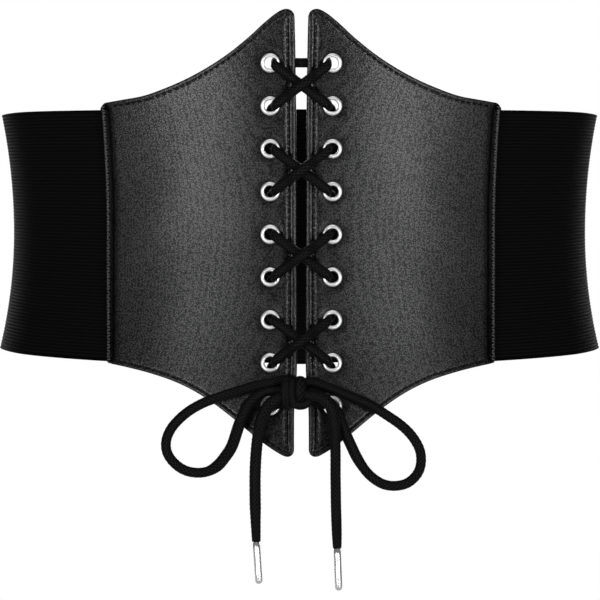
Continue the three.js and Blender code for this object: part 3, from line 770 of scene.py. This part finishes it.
eyelet_tree = Tree("row of eyelets", Eyelet=bpy.types.Object, Material=bpy.types.Material)
eyelet = eyelet_tree.node("GeometryNodeObjectInfo", ("Object", eyelet_tree.given["Eyelet"]), out="Geometry")
facing = eyelet_tree.stored("out", "FLOAT_VECTOR")
turned_out = eyelet_tree.node("FunctionNodeAlignRotationToVector", ("Vector", facing), axis="Z")
eyelet_tree.end(eyelet_tree.node("GeometryNodeInstanceOnPoints", ("Points", eyelet_tree.given["Geometry"]),
                                 ("Instance", eyelet), ("Rotation", turned_out)))
seats = [seat_of(height) for height in eyelet_heights]
for name, side in SIDES:
    places = np.array([tuple(point) for point, _ in seats]) * (side, 1, 1)
    outs = np.array([tuple(out) for _, out in seats]) * (side, 1, 1)
    row = places_for(f"eyelet_row_{name}", places, out=outs)
    eyelet_tree.grow(row, Eyelet=master, Material=tumbled_nickel)
    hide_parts(*[f"eyelet_{name}_{k + 1}" for k in range(EYELETS)])
    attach(row, "root")
bpy.data.objects.remove(master)

# The lacing. One black braided cord, 4.6 mm thick, climbs from the knot through pairs of eyelets that change
# sides, crosses behind the first row, and comes down the other way. Between the eyelets of one side it runs
# behind the leather, and in each eyelet it is pinched against the rim by its own pull.
CORD_SIDES = 28
RING_STEP = 0.42
STRANDS = 8
BRAID_LENGTH = 2.1
BRAID_DEPTH = 0.22
FULL = 1.02
SAG = 0.35
PULL = 1.6
FLATTENED = 0.45
KNOT_DEPTH = 14.0
KNOT_HEIGHT = 15.5
KNOT_ABOVE_EYELET = 6.1
KNOT_ASIDE = -1.6
knot_level = np.array(LAST_EYELET + KNOT_ABOVE_EYELET)
KNOT = Vector(on_loop(np.array(0.0), knot_level, LEATHER_OUTSIDE + CLEAR + KNOT_DEPTH / 2).tolist())
KNOT.x = KNOT_ASIDE


def smooth_route(points, sizes):
    """Ring centres and sizes on a smooth curve through a route's points."""
    points = np.array([tuple(p) for p in points])
    lengths = np.linalg.norm(np.diff(points, axis=0), axis=1)
    knots = np.concatenate([[0], np.cumsum(np.sqrt(lengths))])
    fine = np.linspace(0, knots[-1], len(points) * 24)
    curve = np.stack([read(knots, points[:, k], fine) for k in range(3)], -1)
    fine_sizes = np.stack([np.interp(fine, knots, sizes[:, k]) for k in (0, 1)], -1)
    run = np.concatenate([[0], np.cumsum(np.linalg.norm(np.diff(curve, axis=0), axis=1))])
    at = np.linspace(0, run[-1], max(int(run[-1] / RING_STEP), 4))
    centres = np.stack([np.interp(at, run, curve[:, k]) for k in range(3)], -1)
    return centres, np.stack([np.interp(at, run, fine_sizes[:, k]) for k in (0, 1)], -1), at


def braided_cord(route, sizes, radius=LACE / 2):
    """A cord's points, faces and ring centres, and how far each point stands up in the braid.

    The sizes give, for each point of the route, a share of the radius and how flat the cord is pressed.
    """
    centres, shares, run = smooth_route(route, np.array(sizes, float))
    ahead = np.gradient(centres, axis=0)
    ahead /= np.linalg.norm(ahead, axis=1)[:, None]
    side = np.cross(ahead[0], (0.0, 0.3, 1.0))
    side /= np.linalg.norm(side)
    sides = []
    for direction in ahead:
        side = side - direction * side.dot(direction)
        side = side / np.linalg.norm(side)
        sides.append(side)
    sides = np.array(sides)
    ups = np.cross(ahead, sides)
    turn = np.linspace(0, 2 * math.pi, CORD_SIDES + 1)[:-1]
    one_way = STRANDS * turn[None] / (2 * math.pi) + run[:, None] / BRAID_LENGTH
    other_way = STRANDS * turn[None] / (2 * math.pi) - run[:, None] / BRAID_LENGTH
    over = (np.floor(one_way) + np.floor(other_way)) % 2 < 0.5
    width_share = np.where(over, one_way % 1, other_way % 1)
    length_share = np.where(over, other_way % 1, one_way % 1)
    raised = 1 - 0.75 * (2 * width_share - 1) ** 2 - 0.25 * (2 * length_share - 1) ** 2
    end = rounded(np.minimum(run, run[-1] - run) + 0.05, radius * 0.7)
    size = (radius * FULL * shares[:, 0] * end)[:, None] - BRAID_DEPTH * (1 - raised)
    size = np.maximum(size, 0.05)
    around = np.cos(turn)[None, :, None] * sides[:, None] + np.sin(turn)[None, :, None] * ups[:, None]
    pressed = np.stack([shares[:, 1], np.ones(len(run)), np.ones(len(run))], -1)
    rings = centres[:, None] + around * size[..., None] * pressed[:, None]
    number = np.arange(len(run) * CORD_SIDES).reshape(len(run), CORD_SIDES)
    after = np.roll(number, -1, 1)
    walls = np.stack([number[:-1], after[:-1], after[1:], number[1:]], -1).reshape(-1, 4)
    first, last = number.size, number.size + 1
    caps = [(after[0, k], number[0, k], first) for k in range(CORD_SIDES)]
    caps += [(number[-1, k], after[-1, k], last) for k in range(CORD_SIDES)]
    points = np.concatenate([rings.reshape(-1, 3), centres[:1], centres[-1:]])
    return points, walls.tolist() + caps, centres, np.concatenate([raised.ravel(), [1, 1]])


def cord_object(name, points, faces, raised):
    piece = new_piece(name, points, faces)
    piece.data.materials.append(cord_finish.material)
    store(piece, "raised", raised)
    return piece


def cord_piece(name, route, sizes):
    points, faces, centres, raised = braided_cord(route, sizes)
    return cord_object(name, points, faces, raised), centres


cord_finish = Finish("braided cord")
fluff = cord_finish.fuzz(fibres, 4200.0, 2.5)
# Painted shade: the cord's colour and reflection are darker in the gaps between its strands, mixed with the
# yarn's own random tone.
lit_tops_shaded_gaps = cord_finish.ramp(cord_finish.number("raised"), 0.0, 1.0, 0.35, 0.95)
yarn_tone_and_gap_shade = cord_finish.times(lit_tops_shaded_gaps, cord_finish.ramp(fluff, 0.4, 1.0))
cord_finish.wear(
    Base_Color=cord_finish.tint(yarn_tone_and_gap_shade, (0.0004, 0.0004, 0.0004), (0.0075, 0.0075, 0.0079)),
    Roughness=cord_finish.ramp(fluff, 0.5, 0.7),
    Specular_IOR_Level=cord_finish.ramp(yarn_tone_and_gap_shade, 0.02, 0.26),
    Normal=cord_finish.bump(fluff, 0.00007, 0.6),
)


def on_side(side, row):
    """The seat of one eyelet of a side."""
    point, out = seats[row - 1]
    mirror = Vector((side, 1, 1))
    return {"side": side, "row": row, "point": point * mirror, "out": out * mirror}


def through_eyelet(seat, comes_from, goes_to):
    """The cord through one eyelet, from behind to the front, bending round its rims."""
    bend = BORE_RADIUS
    front = CLEAR + FLANGE_RISE + CLEAR + LACE / 2 - bend
    back = -LEATHER - CLEAR - WASHER_RISE - CLEAR - LACE / 2 + bend

    def toward(place):
        way = place - seat["point"]
        return (way - seat["out"] * way.dot(seat["out"])).normalized()

    def at(way, along, out):
        return seat["point"] + way * along + seat["out"] * out

    half = bend * math.sqrt(0.5)
    behind, ahead = toward(comes_from), toward(goes_to)
    pulled = toward(Vector((0, seat["point"].y, seat["point"].z))) * PULL
    points = [
        at(behind, bend, back - bend),
        at(behind, bend - half, back - half) + pulled / 2,
        at(behind, 0, back) + pulled,
        at(ahead, 0, front) + pulled,
        at(ahead, bend - half, front + half) + pulled * 0.9,
        at(ahead, bend, front + bend) + pulled * 0.7,
    ]
    return points, [(1, 1), (0.95, 0.75), (1, FLATTENED), (1, FLATTENED), (1, 0.75), (1, 1)]


def hump(before, after):
    """The upper cord of a crossing, between the last point before it and the first one after it."""
    middle = (before + after) / 2
    along = (after - before).normalized()
    return [middle + along * away * LACE + Vector((0, -1, 0)) * rise * (LACE + CLEAR)
            for away, rise in ((-1.75, 0.2), (-0.65, 0.9), (0, 1), (0.65, 0.9), (1.75, 0.2))]


def side_of(row):
    """The side on which the climbing cord passes a row."""
    return -1 if row // 2 % 2 == 0 else 1


walk = [on_side(side_of(row), row) for row in range(EYELETS, 0, -1)]
walk += [on_side(-side_of(row), row) for row in range(1, EYELETS + 1)]
entry = KNOT + Vector((0, KNOT_DEPTH / 5, -KNOT_HEIGHT / 6))
route, sizes = [entry], [(1, 1)]
for k, seat in enumerate(walk):
    outward = k % 2 == 1
    before = walk[k - 1]["point"] if k > 0 else entry
    after = walk[k + 1]["point"] if k < len(walk) - 1 else entry
    if outward:
        passing, pressed = through_eyelet(seat, before, after)
    else:
        passing, pressed = through_eyelet(seat, after, before)
        passing, pressed = passing[::-1], pressed[::-1]
        previous = walk[k - 1] if k > 0 else None
        if previous and (seat["side"] - previous["side"]) * (previous["row"] - seat["row"]) > 0:
            over = hump(route[-1], passing[0])
            route += over
            sizes += [(1, 1)] * len(over)
    if k == EYELETS:
        route.append((route[-1] + passing[0]) / 2 + Vector((0, 0, -SAG)))
        sizes.append((0.94, 1))
    route += passing
    sizes += pressed
route.append(entry)
sizes.append((1, 1))
lacing, _ = cord_piece("laced_cord", route, sizes)
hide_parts("lacing")
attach(lacing, "root")

# The bow. The two ends of the cord are tied in a bow with two loops over the last eyelets. Its knot is the
# same cord, wrapped tight round the loops, and the loops hang from it against the panels.
LOOP_LEFT = (
    (-2, 1.8, 4.6), (-6.4, 2.1, 5.7), (-12.7, 2.2, 4.4), (-19.7, 2.4, 3), (-26.7, 2.7, 0.9),
    (-32.8, 3, -1), (-42.5, 3.6, -4.4), (-49.3, 4, -8.1), (-54.3, 4.3, -12.2), (-58.2, 4.6, -16.9),
    (-60.2, 4.6, -22.1), (-59.8, 4.6, -27.3), (-56.8, 4.2, -31.9), (-52.1, 3.9, -35.3), (-46.7, 3.6, -36.6),
    (-41.3, 3.2, -36), (-36.8, 2.8, -33.4), (-33.2, 2.6, -29.2), (-30.1, 2.4, -24.2), (-26.9, 2.1, -14.7),
    (-24.5, 2, -9.1), (-21.5, 2, -4.2), (-15, 2, 0.3), (-6.4, 2, 1), (-2.2, 2, 1.2),
)
LOOP_RIGHT = (
    (2.3, 2, 4.5), (6.8, 2, 4.8), (11, 2, 3.5), (17.3, 2.1, 1.1), (24.2, 2.4, -1.7),
    (30.3, 2.7, -4.2), (35.6, 3, -7.1), (41.3, 3.4, -10.8), (46.1, 3.8, -14.1), (50.4, 4.1, -17.9),
    (53.6, 4.3, -22), (55.8, 4.3, -26.6), (56.3, 4.3, -31.4), (55.4, 4.1, -35.6), (53, 3.8, -39.1),
    (49.5, 3.5, -41.6), (45.2, 3.2, -42.6), (41.1, 2.8, -42.4), (37.4, 2.6, -41.1), (33.2, 2.4, -38.1),
    (30.1, 2.3, -34.6), (26.9, 2.1, -29.6), (24.3, 1.8, -24.2), (22, 1.2, -19.1), (19.9, 0.4, -13.7),
    (18.3, -0.4, -9.4), (15.5, -0.7, -5.5), (11.2, -0.5, -2), (7.3, 0, -0.3), (3.8, 0.3, 0.6),
)


def from_knot(points):
    return [KNOT + Vector(point) for point in points]


wrap_left = (
    (-5.6, -5.3, 5.6), (-5.8, -6.1, 2.5), (-5.8, -6.1, -1), (-5.5, -5, -4.3), (-4.6, -1.5, -6.2),
    (-4.4, 2.4, -6), (-4.8, 5, -2), (-4.8, 5.2, 2), (-4.8, 2.5, 5.8), (-5.2, -1.8, 6.6), (-5.6, -5.3, 5.6),
)
wrap_below = (
    (-2.8, 3, 5), (-2.7, -1.5, 6.2), (-2.9, -4.4, 4.8), (-3, -5, 1.5), (-2.9, -5.2, -1.8), (-1.9, -5.2, -4.6),
    (0.4, -5.1, -5.6), (3, -5, -5.2), (5, -4.4, -3.6), (5.6, -2, -1.5), (5.2, 1, 0.5), (3, 4, 2),
)
wrap_middle = (
    (0.9, 3.4, -4), (0.9, 4.2, 1), (0.9, 2.6, 4.8), (0.9, -0.5, 5.6), (0.9, -3.3, 4.6), (0.9, -4.3, 1.6),
    (0.9, -3.9, -1.5), (0.9, -2.6, -4), (0.9, 0.5, -5),
)
bridge = ((-5.4, 1.6, 5.3), (-2, 0.8, 5.2), (2.3, 1.4, 4.8), (6.6, 2, 4.8))
tuck = ((-5.6, -1, -1.2), (-1, -0.6, -0.8), (3.5, -1.2, -0.6), (7.5, -2.2, -1.2))
knot_strands = (
    (wrap_left, 1.6, 1.3),
    (wrap_below, 1.95, 1),
    (wrap_middle, 2.2, 1.3),
    (bridge, 2.1, 1),
    (tuck, 2.6, 1),
)
knot_points = []
knot_faces = []
knot_raised = []
for strand, thick, wide in knot_strands:
    points, faces, _, raised = braided_cord(from_knot(strand), [(1, wide)] * len(strand), thick)
    knot_faces += [tuple(number + len(knot_points) for number in face) for face in faces]
    knot_points += points.tolist()
    knot_raised += raised.tolist()
knot = cord_object("wrapped_knot", knot_points, knot_faces, knot_raised)
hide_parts("bow_knot")
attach(knot, "root")

for name, points, plump in (("left", LOOP_LEFT, 1.18), ("right", LOOP_RIGHT, 1.1)):
    sizes = np.ones((len(points), 2))
    sizes[-9:-3, 0] = plump
    loop, path = cord_piece(f"bow_loop_{name}", from_knot(points), sizes)
    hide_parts(f"lace_loop_{name}")
    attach(loop, "root")

# The tails and their aglets. Each end of the cord hangs down from the knot, and ends in a tube of polished
# nickel with a round end, crimped on the braid.
TAIL_LEFT = (
    (-2.2, -2.9, -1.6), (-5, -3.3, -1.5), (-8.4, -3.5, -2), (-11.8, -3.2, -4.1), (-14.3, -2.6, -7.1),
    (-16.2, -1.8, -11.1), (-17.5, -1.2, -15.6), (-18.4, -0.7, -20.6), (-19, -0.3, -26.1), (-19.4, 0, -32.1),
    (-19.6, 0.1, -38.1), (-19.6, 0.2, -45.1), (-19.5, 0.2, -52.1), (-19.3, 0.2, -60), (-19, 0.2, -68.8),
)
TAIL_RIGHT = (
    (2.3, -3.9, -1.1), (6.3, -5.2, -1.1), (10.3, -5.8, -2), (13.5, -5.8, -4.3), (15.5, -5.5, -7.7),
    (16.4, -4.7, -12.1), (16.8, -3.8, -17.1), (17, -3, -23.1), (17.1, -2.4, -30.1), (17.1, -2.1, -37.3),
    (17.2, -2, -44.1), (17.3, -2, -51.1), (17.5, -2, -58.1), (17.7, -2, -64.6), (17.9, -2, -71.7),
)
AGLET_LENGTH = 18.2
AGLET_RADIUS = 1.65
AGLET_END = 1.5
TUCKED_IN = 1.2

polished_nickel = nickel("polished nickel", 0.16, 0.22)
aglet_profile = [(0.02, TUCKED_IN), (AGLET_RADIUS - 0.25, TUCKED_IN), (AGLET_RADIUS, TUCKED_IN - 0.3)]
aglet_profile += [(AGLET_RADIUS, z) for z in (-2, -6, -10, -14, AGLET_END - AGLET_LENGTH)]
aglet_profile += [(AGLET_RADIUS * math.cos(t), AGLET_END - AGLET_END * math.sin(t) - AGLET_LENGTH)
                  for t in np.linspace(0.25, 1.5, 7)]
aglet_profile += [(0.02, -AGLET_LENGTH)]
for name, points, lean, plump in (("left", TAIL_LEFT, 3.8, 1.14), ("right", TAIL_RIGHT, 2.2, 1.05)):
    tail_route = from_knot(points)
    sizes = np.ones((len(points), 2))
    sizes[3:-2, 0] = plump
    sizes[3:7, 0] = plump + 0.12
    sizes[-1, 0] = 0.86
    tail, path = cord_piece(f"cord_tail_{name}", tail_route, sizes)
    tube, faces = lathe(aglet_profile, 32)
    cosine = math.cos(math.radians(lean))
    sine = math.sin(math.radians(lean))
    top = tail_route[-1] + Vector((0, 0, -CLEAR))
    tilt = np.array([(cosine, 0, sine), (0, 1, 0), (-sine, 0, cosine)])
    tip = new_piece(f"metal_tip_{name}", tube @ tilt + np.array(tuple(top)), faces)
    tip.data.materials.append(polished_nickel)
    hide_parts(f"aglet_{name}")
    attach(tip, "root")
    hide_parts(f"lace_tail_{name}")
    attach(tail, "root")

# The studio. The belt is held up as on a waist, over a pale floor, in front of white. A tall soft box and a
# wide weak one stand on each side of the camera, two more stand behind the belt, and one lies above and one
# below the camera.
FLOOR_RADIUS = 1100
FLOOR_LEVEL = -260
FLOOR_SIDES = 128
floor_rim = [(FLOOR_RADIUS * math.cos(t), FLOOR_RADIUS * math.sin(t), FLOOR_LEVEL)
             for t in np.linspace(0, 2 * math.pi, FLOOR_SIDES + 1)[:-1]]
floor = new_piece("studio_floor", floor_rim, [list(range(FLOOR_SIDES))])
floor_finish = Finish("pale floor", Roughness=0.8)
floor_tone = floor_finish.noise(6.0, 2.0)
floor_finish.wear(Base_Color=floor_finish.tint(floor_tone, (0.78, 0.78, 0.78), (0.84, 0.84, 0.84)))
floor.data.materials.append(floor_finish.material)


def soft_box(name, place, size, power, at=(0, -60, 0)):
    """A lamp at a place in metres that shines at a point in millimetres."""
    data = bpy.data.lights.new(name, "AREA")
    data.shape = "RECTANGLE"
    data.size, data.size_y = size
    data.energy = power
    lamp = bpy.data.objects.new(name, data)
    bpy.context.scene.collection.objects.link(lamp)
    lamp.location = Vector(place)
    lamp.rotation_euler = (Vector(at) * MM - Vector(place)).to_track_quat("-Z", "Y").to_euler()
    lamp.visible_camera = False


for name, side in SIDES:
    soft_box(f"soft_box_{name}", (side * 0.86, -1.7, -0.45), (0.44, 1.1), 18.5)
    soft_box(f"reflector_{name}", (side * 1.65, -1.5, -0.45), (1.0, 1.1), 5.0)
for name, side in SIDES:
    soft_box(f"soft_box_back_{name}", (side * 0.9, 2.2, 0.6), (1.0, 1.2), 27.0, at=(0, 60, 0))
soft_box("soft_box_above", (0, -1.1, 1.8), (1.6, 1.2), 10.0)
soft_box("soft_box_below", (0, -1.4, -1.7), (1.6, 1.2), 8.0)

world = bpy.data.worlds.new("white surround")
world.use_nodes = True
bpy.context.scene.world = world
surround = world.node_tree
background = surround.nodes["Background"]
seen = surround.nodes.new("ShaderNodeLightPath")
mirrored = surround.nodes.new("ShaderNodeMapRange")
mirrored.inputs["To Min"].default_value = 0.12
mirrored.inputs["To Max"].default_value = 0.16
surround.links.new(seen.outputs["Is Glossy Ray"], mirrored.inputs["Value"])
strength = surround.nodes.new("ShaderNodeMapRange")
strength.inputs["To Max"].default_value = 1.0
surround.links.new(seen.outputs["Is Camera Ray"], strength.inputs["Value"])
surround.links.new(mirrored.outputs[0], strength.inputs["To Min"])
background.inputs["Color"].default_value = (1, 1, 1, 1)
surround.links.new(strength.outputs[0], background.inputs["Strength"])
bpy.context.scene.view_settings.view_transform = "Standard"

camera_data = bpy.data.cameras.new("camera")
camera_data.lens = 393.36
camera_data.sensor_width = 36
camera = bpy.data.objects.new("camera", camera_data)
bpy.context.scene.collection.objects.link(camera)
camera.location = (-0.0258, -3.0977, 0.0383)
aim = Vector((0.000213, 0, -0.03193)) - camera.location
camera.rotation_euler = aim.to_track_quat("-Z", "Y").to_euler()
bpy.context.scene.camera = camera
